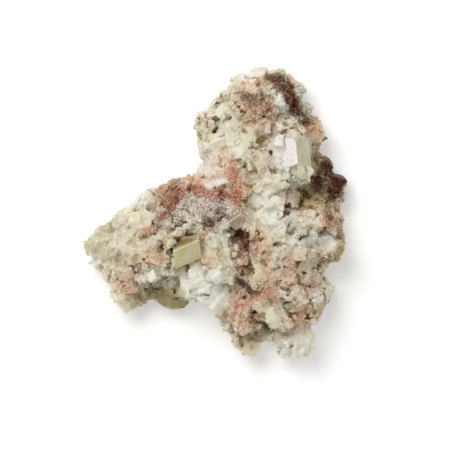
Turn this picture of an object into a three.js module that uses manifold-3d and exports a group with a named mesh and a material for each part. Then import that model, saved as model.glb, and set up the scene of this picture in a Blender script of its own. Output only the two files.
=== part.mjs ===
// Calcite specimen: a three-lobed plate of calcite, broken from the wall of a vein. Pale rhombs,
// grown into each other, cover its top and flanks, and its underside is the flat cut where it left
// the wall. It formed as one piece, so it is one closed solid.
// Millimetres, +Z up. The origin is the middle of the plate's box, on the face that it rests on.
import * as THREE from 'three';
import { mergeVertices } from 'three/addons/utils/BufferGeometryUtils.js';
import Module from 'manifold-3d';

const wasm = await Module();
wasm.setup();

// ---- Driving dimensions ----

const PLATE_BOX = [108, 118]; // width and length of the box that the edge lies in
const RIM_HEIGHT = 11; // where the plate is widest
const RIM_ROUNDING = 12; // how far in from the edge the crust reaches its full height
const RIM_STEEPNESS = 2.2; // power of the curve from rim to full height
const UNDERCUT = 5.5; // how far the flat cut lies in from the edge
const OUTSIDE_SLOPE = 2.5; // how steeply both skins run on past the edge, where they cross
const TOP_PITCH = 5; // spacing of the crust's facets
const UNDER_PITCH = 7; // spacing of the flanks' facets
const ROUGHNESS = 0.9; // how far a facet's corner strays in height
const FACET_STRAY = 0.25; // how far a facet's corner strays sideways, as a share of the spacing
const RHOMB_ANGLE = THREE.MathUtils.degToRad(101.9); // between the edges at a calcite rhomb's blunt corner

// The plate's edge as seen from above, clockwise from the tip of the left arm.
const EDGE = [
  // left arm: tip and lower edge
  [-53, -13], [-52, -16], [-50.5, -16.5], [-50, -19.5], [-48.5, -21.3], [-46, -22], [-45.4, -25],
  [-43.5, -25.8], [-43.8, -29.5], [-41, -32.5], [-39, -36.5], [-37, -38.5], [-34, -38.7],
  [-31, -36.8], [-28.2, -34], [-25, -35.2], [-19, -36], [-17.4, -37.6], [-15.4, -38],
  [-12.6, -35], [-6.2, -34.4], [-3.5, -35.5],
  // left foot, the notch between the feet, and the right foot
  [-1.5, -39], [1.2, -41], [2.6, -45], [5.4, -48.4], [6.6, -51.2], [9.8, -54.5], [12.2, -57],
  [16, -57], [17.4, -55.6], [17, -53.8], [18.2, -50.8], [24, -50.6], [26, -53], [25.6, -55.5],
  [27, -58], [29, -58.2], [30, -56.8], [35, -56.8], [37.4, -54.4], [39, -51], [37.8, -47.2],
  // right side, upwards
  [40, -45.8], [42.5, -42], [43, -38.8], [45.8, -36], [46.6, -33.5], [46.2, -31], [47.4, -29],
  [43.5, -26.3], [43.8, -21.3], [47, -19.2], [49.8, -18], [50.2, -13], [51.8, -10.8], [51.2, -6.4],
  [51.2, -2], [50.2, 2.4], [53, 7], [51.4, 12], [49, 16.8], [46.6, 18.4], [46.6, 21.4],
  [43, 21.6], [40.8, 27], [41.4, 28.6], [44.2, 30], [43.6, 33.5], [38.6, 38.8], [38, 41.4],
  [34.6, 45.2], [35, 48.4], [36.2, 50.4], [35, 53.4], [31, 56],
  // top lobe
  [26, 58.6], [24, 57.6], [18.5, 57.9], [13.5, 56.8], [10.5, 57.2], [8.8, 56], [6.5, 52], [4, 50.6],
  [0.5, 46.5], [-3.2, 42.4], [-6, 42], [-7.6, 40], [-8.8, 33], [-6.6, 31], [-7.6, 28.2],
  [-6.2, 20.5], [-6.6, 16.8], [-7.8, 15.4],
  // left arm: upper edge
  [-12.6, 15.4], [-17.4, 13.6], [-21.4, 12.2], [-27, 10.8], [-28, 9.4], [-31.2, 7.4], [-32, 5.8],
  [-36.6, 3.2], [-38, 0.8], [-41.4, -0.8], [-47, -6.2], [-51.6, -9.8],
];

// How high the crust stands at [x, y]: between these places it is blended by distance.
const CRUST_HEIGHTS = [
  // left arm
  [-50, -13, 16], [-45.5, -19, 16], [-41, -29.5, 18], [-35, -36.5, 14], [-40, -5.5, 21],
  [-37.5, -16.5, 24], [-30, 5.5, 22], [-28, -4.5, 27], [-30, -22.5, 26], [-20, 10.5, 20],
  [-20, -17.5, 29], [-13.5, -13, 29.5], [-14, 1, 24], [-18, -26.5, 18], [-20, -34.5, 10],
  [-8, -28.5, 27], [-11.5, 13, 21],
  // the middle, where the lobes meet
  [-4, 3, 24], [-1.5, 13.5, 27], [5, 17, 30], [-1.5, -5.5, 24], [0, -13.5, 30], [0.5, -24.5, 31],
  [-0.5, -34.5, 22],
  // top lobe
  [-4, 35.5, 22], [-0.5, 25.5, 27], [4, 43.5, 26], [12, 53.5, 23], [14, 43.5, 33],
  [20, 54.5, 26], [18.5, 33.5, 32], [27.5, 56, 19], [34, 51, 14], [27.5, 45, 29], [36, 40, 18],
  [41.5, 33, 16],
  // right side
  [30, 26, 37], [20, 21, 35], [10, 23.5, 32], [30.5, 14.5, 37], [21, 7.5, 36], [38, 23.5, 20],
  [44.5, 19.5, 13], [42, 11, 18], [50, 9.5, 12], [35, 6.5, 24], [18.5, -3, 33], [38.5, -1, 33],
  [48, -3, 22], [34.5, -12.5, 35], [44, -12.5, 28], [48, -17, 19], [24.5, -10.5, 35],
  [26.5, -22.5, 34], [38.5, -23, 27],
  // the feet
  [18.5, -30.5, 31], [30, -30.5, 32], [40, -33, 27], [22.5, -39, 30], [34, -42.5, 27],
  [32, -52.5, 20], [6, -35, 24], [10, -41, 27], [7.5, -49, 20], [14, -55, 14], [20, -48, 17],
];

// Hollows in the crust: [x, y, radius, depth].
const HOLLOWS = [
  [9, -7.5, 3.6, 10], [28.5, 3.2, 2.4, 5], [18.8, 29, 3, 4], [-28, -9.2, 2.4, 3.5],
  [-2, -4.8, 2.8, 3.5], [37, 10, 5, 7], [43, 14.5, 4, 4], [-25, -30, 4.5, 5],
  [31, -5, 2.6, 3], [45.5, 0, 3, 4], [-19, 6.5, 4.5, 3.5], [-22.5, -4.5, 3.4, 3], [28.5, -39, 3, 5],
];

// Clefts between lobes: a line of [x, y] points, its half width and its depth.
const CLEFTS = [
  {
    line: [[10, 3.5], [9, -7], [11.5, -15], [11.5, -22], [11, -29.5], [15, -41], [21, -47.5]],
    half: 2.4,
    depth: 7,
  },
  { line: [[-22.5, -10.5], [-22, -14.5]], half: 1.8, depth: 6 },
  { line: [[-6, 7], [-14, 5], [-20, 4]], half: 3, depth: 2.5 },
];

// Crystals that stand out by themselves. at: their middle. edges: lengths along the three edge
// directions. turn: the long edge's heading, from +X. pitch: its rise. roll: about the long edge.
const LARGE_RHOMBS = [
  // the honey rhomb on the left arm, the largest, on the right side, and one that bridges the main cleft
  { at: [-11.2, -14.6, 30], edges: [11, 6.6, 9], turn: 24, pitch: -2, roll: 115 },
  { at: [31, 23.6, 34.6], edges: [11.5, 8.5, 8.5], turn: -84, pitch: 3, roll: 25 },
  { at: [8.8, -1, 26], edges: [6.5, 4.4, 4], turn: 36, pitch: 8, roll: 12 },
  // the rest, from the middle outwards
  { at: [-25.8, -24.3, 26], edges: [4.2, 3.4, 3.6], turn: -70, pitch: 0, roll: 20 },
  { at: [11.6, 23.6, 32], edges: [6, 3.6, 4], turn: 66, pitch: 12, roll: 35 },
  { at: [1, -24.2, 30.5], edges: [5.5, 3, 4], turn: -60, pitch: 10, roll: 50 },
  { at: [-7.8, -28, 23.5], edges: [11, 9.5, 8], turn: 80, pitch: -12, roll: 15 },
  { at: [1.6, -34.6, 21.5], edges: [10, 7.5, 8], turn: 52, pitch: -14, roll: 30 },
  { at: [-48, -12.8, 12.5], edges: [7, 6, 7], turn: 62, pitch: 0, roll: 25 },
  { at: [-35.4, -33.8, 12], edges: [8.5, 7.5, 8], turn: 30, pitch: -10, roll: 20 },
  { at: [-15, -34.2, 8], edges: [5.6, 5.4, 5.4], turn: 48, pitch: 0, roll: 12 },
  { at: [-4.2, 36.6, 19], edges: [7, 5.5, 7], turn: 72, pitch: 0, roll: 22 },
  { at: [25.4, 45, 29.5], edges: [6.5, 4, 4.5], turn: 68, pitch: 14, roll: 30 },
  { at: [27.6, 35.6, 31], edges: [6, 5, 5], turn: 20, pitch: 10, roll: -20 },
  { at: [20.4, 20.2, 36], edges: [5.5, 4.5, 5], turn: 50, pitch: 12, roll: 38 },
  { at: [16, -3.4, 30], edges: [7, 6, 6], turn: 75, pitch: 6, roll: 25 },
  { at: [25, -3.5, 34.5], edges: [6, 5, 5], turn: 10, pitch: 8, roll: 28 },
  { at: [39, -1, 32.5], edges: [5.5, 4.5, 5], turn: 80, pitch: 0, roll: 35 },
  { at: [34.6, 16.4, 34.5], edges: [6.5, 5, 5.5], turn: 62, pitch: 10, roll: 40 },
  { at: [45.8, -14.4, 23], edges: [8, 6, 7], turn: 68, pitch: -18, roll: 32 },
  { at: [49.6, -10.8, 16], edges: [4, 3.5, 4], turn: 20, pitch: 0, roll: 40 },
  { at: [45, -30.6, 14], edges: [4.5, 4, 4.5], turn: -30, pitch: 0, roll: 35 },
  { at: [39.4, -33.8, 27.5], edges: [5.5, 5, 5], turn: 75, pitch: 8, roll: 30 },
  { at: [24.8, -41.6, 29], edges: [7, 5.5, 5.5], turn: -52, pitch: 6, roll: 25 },
  { at: [32.6, -50.6, 18], edges: [9, 9, 8], turn: 35, pitch: -12, roll: 18 },
  { at: [27.6, -54.8, 11], edges: [6.5, 3.6, 5], turn: 78, pitch: -12, roll: 20 },
  { at: [14, -53.4, 12], edges: [7, 5, 6], turn: 60, pitch: -16, roll: 22 },
  { at: [-12.4, 11.8, 18], edges: [6, 4.5, 5], turn: 12, pitch: 4, roll: 24 },
  { at: [-26.8, 5.6, 21], edges: [6.5, 5, 5.5], turn: 35, pitch: 8, roll: 30 },
  { at: [-24, -12.2, 27], edges: [5, 4.5, 4.5], turn: 80, pitch: 0, roll: 20 },
  { at: [-23, -17.4, 27.5], edges: [5, 4, 4.5], turn: -38, pitch: 4, roll: 25 },
  { at: [49.2, 8.2, 11], edges: [5, 4, 5], turn: 70, pitch: 0, roll: 38 },
  { at: [41, 31.8, 14], edges: [5.5, 4, 5], turn: -60, pitch: 0, roll: 40 },
  { at: [25.4, 54.8, 19], edges: [5, 4.5, 5], turn: 15, pitch: 0, roll: 30 },
];

// The smaller rhombs that cover the rest: on the crust, and round the flanks. The crust's seed is
// one that leaves no hollow closed off between rhombs.
const CRUST_RHOMBS = { seed: 411, tries: 6000, apart: 4.8, smallest: 3.6, largest: 6.6, count: 164 };
const FLANK_RHOMBS = { seed: 77, tries: 900, apart: 6.4, smallest: 3.6, largest: 5.6, count: 34 };
const SUNK = 0.26; // how deep a small rhomb's middle lies in the crust, as a share of its size
const LARGE_REACH = 0.62; // how far round a large rhomb's middle is kept free, as a share of its length
const OVERHANG = 1.1; // how far a small rhomb may reach past the edge
const CLEAR_OF_REST = 0.8; // how far a flank's rhomb stays above the face that it rests on
const LEAN = THREE.MathUtils.degToRad(50); // the most that a small rhomb leans from the crust's normal
const IN_FROM_EDGE = 1.5; // the least distance from the edge to a crust rhomb's middle
const FLANK_BAND = [0.5, 3.5]; // how far in under the edge the flanks' rhombs lie
const FLANK_DIP = 0.4; // how far a flank's rhomb faces down, against 1 sideways

// ---- Numbers that stray, the same each time ----

function strayNumbers(seed) {
  let state = seed;
  return () => {
    state = (state * 48271) % 2147483647;
    return state / 2147483647;
  };
}

// ---- The plate's form ----

// Distance in from the plate's edge, negative outside it.
function inset(x, y) {
  let nearest = Infinity;
  let inside = false;
  EDGE.forEach(([ax, ay], i) => {
    const [bx, by] = EDGE[(i + 1) % EDGE.length];
    nearest = Math.min(nearest, distanceToSegment(x, y, ax, ay, bx, by));
    if (ay > y !== by > y && x < ax + ((y - ay) * (bx - ax)) / (by - ay)) inside = !inside;
  });
  return inside ? nearest : -nearest;
}

function distanceToSegment(x, y, ax, ay, bx, by) {
  const along = ((x - ax) * (bx - ax) + (y - ay) * (by - ay)) / ((bx - ax) ** 2 + (by - ay) ** 2);
  const t = THREE.MathUtils.clamp(along, 0, 1);
  return Math.hypot(x - ax - t * (bx - ax), y - ay - t * (by - ay));
}

function blendedHeight(x, y) {
  const softening = 9;
  let sum = 0;
  let weights = 0;
  for (const [px, py, height] of CRUST_HEIGHTS) {
    const weight = 1 / ((x - px) ** 2 + (y - py) ** 2 + softening) ** 2;
    sum += weight * height;
    weights += weight;
  }
  return sum / weights;
}

function hollowDepth(x, y) {
  let depth = 0;
  for (const [px, py, radius, deep] of HOLLOWS) {
    depth += deep * Math.exp(-((x - px) ** 2 + (y - py) ** 2) / radius ** 2);
  }
  for (const { line, half, depth: deep } of CLEFTS) {
    let away = Infinity;
    for (let i = 1; i < line.length; i += 1) {
      away = Math.min(away, distanceToSegment(x, y, ...line[i - 1], ...line[i]));
    }
    depth += deep * Math.exp(-((away / half) ** 2));
  }
  return depth;
}

// Height of the crust at (x, y): the blended height, rounded down to the rim at the edge.
function crustHeight(x, y) {
  const from = inset(x, y);
  if (from < 0) return RIM_HEIGHT + OUTSIDE_SLOPE * from;
  const share = Math.min(from / RIM_ROUNDING, 1);
  const rise = 1 - (1 - share) ** RIM_STEEPNESS;
  const full = Math.max(blendedHeight(x, y) - hollowDepth(x, y), RIM_HEIGHT + 1);
  return RIM_HEIGHT + (full - RIM_HEIGHT) * rise;
}

// Height of the flanks' underside: from the rim down and in to the flat cut.
function flankHeight(x, y) {
  return RIM_HEIGHT * (1 - inset(x, y) / UNDERCUT);
}

// ---- Solids ----

function toSolid(geometry) {
  geometry.deleteAttribute('normal');
  geometry.deleteAttribute('uv');
  const merged = mergeVertices(geometry, 1e-4);
  return new wasm.Manifold(new wasm.Mesh({
    numProp: 3,
    vertProperties: new Float32Array(merged.attributes.position.array),
    triVerts: new Uint32Array(merged.index.array),
  }));
}

// A block whose upper or lower side follows heightAt, with corners that stray a little. It is
// wider and deeper than the plate, so that only its skin is left in the cut.
function skinnedBlock(heightAt, pitch, { upper, seed }) {
  const span = 130;
  const depth = 90;
  const cells = Math.round(span / pitch);
  const stray = strayNumbers(seed);
  const block = new THREE.BoxGeometry(span, span, depth, cells, cells, 1);
  const places = block.attributes.position;
  const moved = new Map();
  for (let i = 0; i < places.count; i += 1) {
    const onSkin = upper ? places.getZ(i) > 0 : places.getZ(i) < 0;
    const key = `${places.getX(i).toFixed(3)} ${places.getY(i).toFixed(3)}`;
    if (onSkin && !moved.has(key)) {
      const x = places.getX(i) + (stray() - 0.5) * 2 * FACET_STRAY * pitch;
      const y = places.getY(i) + (stray() - 0.5) * 2 * FACET_STRAY * pitch;
      moved.set(key, [x, y, heightAt(x, y) + (stray() - 0.5) * 2 * ROUGHNESS]);
    }
    if (onSkin) places.setXYZ(i, ...moved.get(key));
    else places.setZ(i, upper ? -depth / 2 : depth);
  }
  return toSolid(block);
}

function plateBody() {
  const crust = skinnedBlock(crustHeight, TOP_PITCH, { upper: true, seed: 11 });
  const flanks = skinnedBlock(flankHeight, UNDER_PITCH, { upper: false, seed: 23 });
  const aboveRest = new THREE.BoxGeometry(200, 200, 100);
  aboveRest.translate(0, 0, 50);
  return crust.intersect(flanks).intersect(toSolid(aboveRest));
}

// A calcite rhomb: a box whose three edge directions meet at the rhomb's angle.
function rhombGeometry([a, b, c]) {
  const cos = Math.cos(RHOMB_ANGLE);
  const first = new THREE.Vector3(1, 0, 0);
  const second = new THREE.Vector3(cos, Math.sin(RHOMB_ANGLE), 0);
  const across = (cos - cos * cos) / Math.sin(RHOMB_ANGLE);
  const third = new THREE.Vector3(cos, across, Math.sqrt(1 - cos * cos - across * across));
  const shear = new THREE.Matrix4().makeBasis(
    first.multiplyScalar(a),
    second.multiplyScalar(b),
    third.multiplyScalar(c),
  );
  return new THREE.BoxGeometry(1, 1, 1).applyMatrix4(shear);
}

function largeRhomb({ at, edges, turn, pitch, roll }) {
  const radians = [roll, -pitch, turn].map(THREE.MathUtils.degToRad);
  const pose = new THREE.Matrix4().makeRotationFromEuler(new THREE.Euler(...radians, 'ZYX'));
  return rhombGeometry(edges).applyMatrix4(pose).translate(...at);
}

// A rhomb of the given size, leaning at random from the given outward direction.
function smallRhomb(at, outward, size, stray) {
  const edges = [size, size * (0.75 + 0.25 * stray()), size * (0.7 + 0.3 * stray())];
  const leanAxis = new THREE.Vector3(stray() - 0.5, stray() - 0.5, stray() - 0.5).normalize();
  const turn = new THREE.Quaternion()
    .setFromUnitVectors(new THREE.Vector3(0, 0, 1), outward)
    .multiply(new THREE.Quaternion().setFromAxisAngle(leanAxis, LEAN * stray()))
    .multiply(new THREE.Quaternion().setFromAxisAngle(new THREE.Vector3(0, 0, 1), Math.PI * 2 * stray()));
  const pose = new THREE.Matrix4().makeRotationFromQuaternion(turn);
  const middle = at.clone().addScaledVector(outward, -SUNK * size);
  return rhombGeometry(edges).applyMatrix4(pose).translate(middle.x, middle.y, middle.z);
}

function crustNormal(x, y) {
  const step = 1.2;
  return new THREE.Vector3(
    crustHeight(x - step, y) - crustHeight(x + step, y),
    crustHeight(x, y - step) - crustHeight(x, y + step),
    2 * step,
  ).normalize();
}

// True if no corner reaches too far past the edge or down to the face that it rests on.
function fits(geometry) {
  const places = geometry.attributes.position;
  for (let i = 0; i < places.count; i += 1) {
    if (inset(places.getX(i), places.getY(i)) < -OVERHANG) return false;
    if (places.getZ(i) < CLEAR_OF_REST) return false;
  }
  return true;
}

function onLargeRhomb(place) {
  return LARGE_RHOMBS.some(({ at, edges }) => {
    const away = place.distanceTo(new THREE.Vector3(...at));
    return away < LARGE_REACH * edges[0];
  });
}

// Rhombs at places that proposePlace offers, kept apart from each other and off the large ones.
function scatteredRhombs(cover, proposePlace) {
  const stray = strayNumbers(cover.seed);
  const placed = [];
  const rhombs = [];
  for (let i = 0; i < cover.tries && rhombs.length < cover.count; i += 1) {
    const place = proposePlace(stray);
    const size = cover.smallest + (cover.largest - cover.smallest) * stray();
    const crowded = place && placed.some((other) => other.distanceTo(place.at) < cover.apart);
    if (place && !crowded && !onLargeRhomb(place.at)) {
      const rhomb = smallRhomb(place.at, place.outward, size, stray);
      if (fits(rhomb)) {
        placed.push(place.at);
        rhombs.push(rhomb);
      }
    }
  }
  return rhombs;
}

function placeOnCrust(stray) {
  const x = (stray() - 0.5) * PLATE_BOX[0];
  const y = (stray() - 0.5) * PLATE_BOX[1];
  if (inset(x, y) < IN_FROM_EDGE) return null;
  return { at: new THREE.Vector3(x, y, crustHeight(x, y)), outward: crustNormal(x, y) };
}

function placeOnFlank(stray) {
  const i = Math.floor(stray() * EDGE.length);
  const [ax, ay] = EDGE[i];
  const [bx, by] = EDGE[(i + 1) % EDGE.length];
  const along = stray();
  const sideways = new THREE.Vector3(ay - by, bx - ax, 0).normalize();
  const depth = THREE.MathUtils.lerp(...FLANK_BAND, stray());
  const at = new THREE.Vector3(ax + along * (bx - ax), ay + along * (by - ay), 0);
  at.addScaledVector(sideways, depth).setZ(RIM_HEIGHT * (1 - depth / UNDERCUT));
  return { at, outward: sideways.negate().setZ(-FLANK_DIP).normalize() };
}

function calciteCluster() {
  const rhombs = [
    ...LARGE_RHOMBS.map(largeRhomb),
    ...scatteredRhombs(CRUST_RHOMBS, placeOnCrust),
    ...scatteredRhombs(FLANK_RHOMBS, placeOnFlank),
  ];
  const grown = rhombs.reduce((cluster, rhomb) => cluster.add(toSolid(rhomb)), plateBody());
  const mesh = grown.getMesh();
  const geometry = new THREE.BufferGeometry();
  geometry.setAttribute('position', new THREE.BufferAttribute(mesh.vertProperties, mesh.numProp));
  geometry.setIndex(new THREE.BufferAttribute(mesh.triVerts, 1));
  geometry.computeVertexNormals();
  return geometry;
}

const paleCalcite = new THREE.MeshStandardMaterial({ color: 0xd9d0bb, roughness: 0.55, metalness: 0 });
const cluster = new THREE.Mesh(calciteCluster(), paleCalcite);
cluster.name = 'calcite_cluster';

const specimen = new THREE.Group();
specimen.add(cluster);

export default specimen;
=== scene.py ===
import math

import bmesh
import bpy
import numpy as np
from mathutils import Matrix, Vector, noise
from mathutils.bvhtree import BVHTree
from mathutils.kdtree import KDTree


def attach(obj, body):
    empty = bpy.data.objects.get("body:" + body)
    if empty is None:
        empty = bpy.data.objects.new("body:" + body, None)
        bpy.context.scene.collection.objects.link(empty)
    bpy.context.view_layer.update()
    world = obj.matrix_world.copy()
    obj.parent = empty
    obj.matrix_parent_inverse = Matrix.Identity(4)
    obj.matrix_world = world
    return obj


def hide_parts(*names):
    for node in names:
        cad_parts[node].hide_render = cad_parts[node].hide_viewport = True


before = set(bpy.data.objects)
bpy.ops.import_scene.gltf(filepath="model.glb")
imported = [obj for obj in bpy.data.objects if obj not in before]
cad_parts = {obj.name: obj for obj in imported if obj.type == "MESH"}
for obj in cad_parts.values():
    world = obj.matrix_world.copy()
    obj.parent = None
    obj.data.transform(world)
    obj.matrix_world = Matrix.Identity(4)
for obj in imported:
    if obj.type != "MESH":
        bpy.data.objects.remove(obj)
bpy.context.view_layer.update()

# ---- The crust ----
# The specimen is one mass of milky calcite, broken from the wall of a vein. Rhombs of every size have
# grown into each other over it, in knobs whose crystals fan out from the middle, and later calcite has
# rounded the older ones. Its underside is a flat cut.

MM = 0.001
RHOMB_ANGLE = math.radians(101.9)  # between the edges at a calcite rhomb's blunt corner
ABOVE_REST = 0.5  # mm that every added crystal stays above the face that the specimen rests on
INSIDE_BOX = 0.02  # mm that it stays inside the specimen's box
MOST_OVERHANG = 1.5  # mm that it may reach beyond the plain solid's outline
HAIR = 0.001  # mm that the rounded crust stays short of the box's upper sides
HIGH_ABOVE = 60.0  # mm, higher than any crystal
HALF_UP = 20.0  # mm, half the specimen's height
CUT_MARGIN = 1.5  # mm above the flat cut that stay even
BARE_MARGIN = 0.6  # mm round the bare blocks that stay nearly even

# The crystals that stand clear: at, edges in mm, and turn, pitch, roll in degrees.
CLEAR_RHOMBS = {
    "honey": ((-11.2, -14.6, 30), (11, 6.6, 9), (24, -2, 115)),
    "glassy": ((31, 23.6, 34.48), (11.5, 8.5, 8.5), (-84, 3, 25)),
    "bridge": ((9.2, -2, 27.4), (6.5, 4.4, 4), (36, 8, 12)),
    "tooth": ((-24.6, -24.6, 26.8), (3.7, 3, 3.4), (-70, 0, 20)),
}
# The crust that has grown up their sides: at, size in mm.
COVERING = (
    ((-18.4, -11.6, 33), 4), ((-16.1, -9.2, 33.2), 3.8), ((-13.8, -7, 32), 3.6),
    ((-11.4, -5, 30.4), 3.2), ((-19, -15.4, 31.2), 3.4), ((-17.8, -16.4, 30.6), 3.2),
    ((24.2, 26.2, 35.6), 4.4), ((24.6, 22.6, 36), 4), ((26, 19.4, 35.6), 4.2), ((29, 17.6, 36), 4),
    ((27, 29.8, 36.6), 4.4), ((30.4, 32, 37), 4), ((34.4, 32, 36), 4),
    ((5.6, -3.6, 26), 2.6), ((6.2, 1.6, 26), 2.8), ((25.6, 28.4, 37.2), 4.6),
    ((31.6, 30.6, 37.6), 3.6),
)
# Where few small crystals grew: the free faces of those rhombs, and of large blocks of the crust itself.
BARE_RHOMBS = {
    **CLEAR_RHOMBS,
    "honey": ((-10.8, -14.4, 30.2), (10.4, 7.2, 9.4), (24, -2, 115)),
    "glassy": ((32.2, 24.2, 34.6), (9.8, 8.5, 8.5), (-84, 3, 25)),
    "notch_block": ((1.6, -34.6, 21.5), (10, 7.5, 8), (52, -14, 30)),
    "arm_tip": ((-48, -12.8, 12.5), (7, 6, 7), (62, 0, 25)),
    "arm_foot": ((-35.4, -33.8, 12), (8.5, 7.5, 8), (30, -10, 20)),
}

# Blocks of the crust that stand out from it: x, y and how far the middle is above the crust, edges in
# mm, and turn, pitch, roll in degrees.
MILKY_BLOCKS = (
    ((11.2, 24.4, 0.5), (4.6, 4.2, 4.2), (60, 8, 20)), ((18.6, 21.4, 0.7), (7, 5.4, 5.4), (-60, 5, 30)),
    ((25.8, 45.7, 0.6), (4.8, 3.6, 4.2), (75, -5, 15)), ((-24, -12.4, 0.4), (5.8, 5, 4.4), (-25, 0, 25)),
    ((-23.4, -17.8, 0.7), (4.6, 3.8, 4), (-20, 10, 10)), ((5.9, 16.4, 0.6), (5.6, 4.8, 4.8), (-70, 5, 20)),
    ((29.2, -42.4, 0.9), (5, 4.2, 4.2), (-35, 12, 25)), ((0.7, -24.5, 0.9), (5, 4.2, 4.4), (35, -8, 30)),
    ((14.4, -53.6, 0.2), (6.6, 5.2, 5.2), (70, -8, 15)), ((17.6, 55.4, -0.4), (7, 4.8, 5.4), (10, 0, 30)),
    ((13.6, 30.4, 0.5), (4.6, 4, 4), (20, 10, 0)), ((30.6, 6.2, 0.5), (5.4, 4.6, 4.4), (-15, 0, 35)),
    ((-36.4, -8.6, 0.4), (6, 5, 4.6), (40, 10, 15)), ((18.8, -24.6, 0.4), (5.4, 4.8, 4.6), (-50, -6, 20)),
    ((-31.4, -3.4, 0.4), (5, 4.8, 4.4), (15, 8, 25)), ((33.4, -15.6, 0.5), (5.2, 4.4, 4.4), (80, 5, 10)),
    ((-45.6, -8.4, 0.2), (5.6, 5, 4.8), (-30, 5, 30)), ((3.4, 40.6, 0.4), (5.2, 4.6, 4.4), (55, -5, 20)),
    ((23.8, 12.6, 0.5), (5, 4.4, 4.6), (5, 12, 40)), ((-31.6, -32.6, -2.6), (6.6, 6, 6.2), (10, 0, 35)),
    ((-38, -31.6, -2.4), (6.8, 6, 6.4), (75, 0, 20)), ((34.4, -51, -1), (9, 8, 7), (-20, 0, 30)),
    ((-13.4, -22, 0.8), (5.4, 4.8, 4.6), (30, 5, 20)), ((-19.6, -33, -2.6), (7, 6, 6.4), (40, 0, 25)),
    ((-15.6, -34.4, -2.4), (6, 5.4, 5.6), (10, 0, 35)), ((31.6, 49.8, -1.2), (6.6, 5.6, 5.6), (50, 0, 25)),
    ((9.8, 52.4, -1.4), (6.4, 5.6, 5.6), (20, 0, 30)), ((35.2, 41.8, -1.4), (5.6, 5, 5), (70, 0, 20)),
    ((44, 20, -1.4), (5.2, 4.6, 4.6), (30, 0, 30)), ((39.2, 36.6, -1), (4.8, 4.2, 4.2), (10, 0, 30)),
    ((49, 12.6, -1.6), (6, 5.4, 5.6), (65, 0, 25)), ((50, 7.6, -1.6), (5.2, 4.6, 4.6), (25, 0, 25)),
    ((-8.6, -28.4, -1.2), (8.4, 7.6, 6.4), (25, 5, 35)), ((-3.2, -31.6, -1), (7.6, 6.4, 6), (60, -5, 20)),
)

BLOCK_SUNK = 0.3  # of its first edge, how far a block's middle sinks in
BLOCK_CLEARANCE = 0.9  # of that edge, how far the middle stays above the lowest place

KNOB_TRIES = 2000  # spots tried as their middles
KNOB_SPACING = 8.5  # mm between the middles of knobs
KNOB_REACH = 6.0  # mm from a knob's middle to where its crystals lean out the most
KNOB_FAN = 0.65  # how far they lean there, against 1 along the crust's normal
KNOB_DISORDER = 13.0  # degrees that its crystals stray from each other
ROGUES = 0.2  # the share of crystals that follow no knob

# The crystals that cover the rest: how many are tried, their sizes in mm, how far apart they stay, how
# deep they sit as a share of their size, how far a knob's middle stands out, and how likely they are
# away from the stains. The old ones are rounded over, the young ones are crisp.
OLD = {
    "tries": 3400, "size": (2.7, 6.0), "apart": 2.35, "sunk": 0.32, "knob_rise": 1.5, "everywhere": 1.1,
}
YOUNG = {
    "tries": 14000, "size": (1.1, 2.5), "apart": 1.45, "sunk": 0.32, "knob_rise": 0.0, "everywhere": 0.2,
}

# The body's lumps, with clefts between them.
LUMP_TRIES = 5102  # spots tried as their middles
LUMP_SPACING = 7.0  # mm
CLEFT_DEPTH = 1.7  # mm
CLEFT_WIDTH = 1.5  # mm
CLEFT_SHARE = 0.7  # of the clefts' length, how much is open
CLEFT_WANDER = 1.5  # mm that a cleft strays from the straight
ROUNDING_CELL = 0.52  # mm, the size of the faces that the rounded body is built anew from
ROUNDING_TURNS = 4
ROUNDED_SHARE = 0.47  # of the rounded body's triangles, how many are kept
GRAIN_RELIEF = 0.24  # mm, how far its grains stand out
MOST_TRIANGLES = 194000  # in the whole crust


def closed_copy_of(node):
    """The node's mesh in millimetres, with the corners that its faces share joined."""
    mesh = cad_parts[node].data.copy()
    body = bmesh.new()
    body.from_mesh(mesh)
    bmesh.ops.scale(body, vec=(1 / MM,) * 3, verts=body.verts)
    bmesh.ops.remove_doubles(body, verts=body.verts, dist=0.0005)
    mesh.clear_geometry()
    body.to_mesh(mesh)
    body.free()
    mesh.materials.clear()
    return mesh


def corners_of(mesh):
    places = np.empty(len(mesh.vertices) * 3, np.float32)
    mesh.vertices.foreach_get("co", places)
    return places.reshape(-1, 3).astype(float)


def triangles_of(mesh):
    mesh.calc_loop_triangles()
    corners = np.empty(len(mesh.loop_triangles) * 3, np.int32)
    mesh.loop_triangles.foreach_get("vertices", corners)
    return corners.reshape(-1, 3)


def rhomb_edges():
    """Unit vectors along a rhomb's three edge directions, as the columns of a matrix."""
    cos = math.cos(RHOMB_ANGLE)
    across = (cos - cos * cos) / math.sin(RHOMB_ANGLE)
    up = math.sqrt(1 - cos * cos - across * across)
    return np.array([[1, cos, cos], [0, math.sin(RHOMB_ANGLE), across], [0, 0, up]])


def turned(axis, angle):
    """Rotation matrices about the given axes by the given angles."""
    axis = axis / np.linalg.norm(axis, axis=1, keepdims=True)
    x, y, z = axis.T
    cos, sin = np.cos(angle), np.sin(angle)
    rest = 1 - cos
    return np.stack([
        np.stack([cos + x * x * rest, x * y * rest - z * sin, x * z * rest + y * sin], 1),
        np.stack([y * x * rest + z * sin, cos + y * y * rest, y * z * rest - x * sin], 1),
        np.stack([z * x * rest - y * sin, z * y * rest + x * sin, cos + z * z * rest], 1),
    ], 1)


def facing(outward):
    """Rotation matrices that bring +Z to the given outward directions."""
    up = np.broadcast_to([0.0, 0.0, 1.0], outward.shape)
    axis = np.cross(up, outward) + [1e-6, 0, 0]
    return turned(axis, np.arccos(np.clip(outward[:, 2], -1, 1)))


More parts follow.
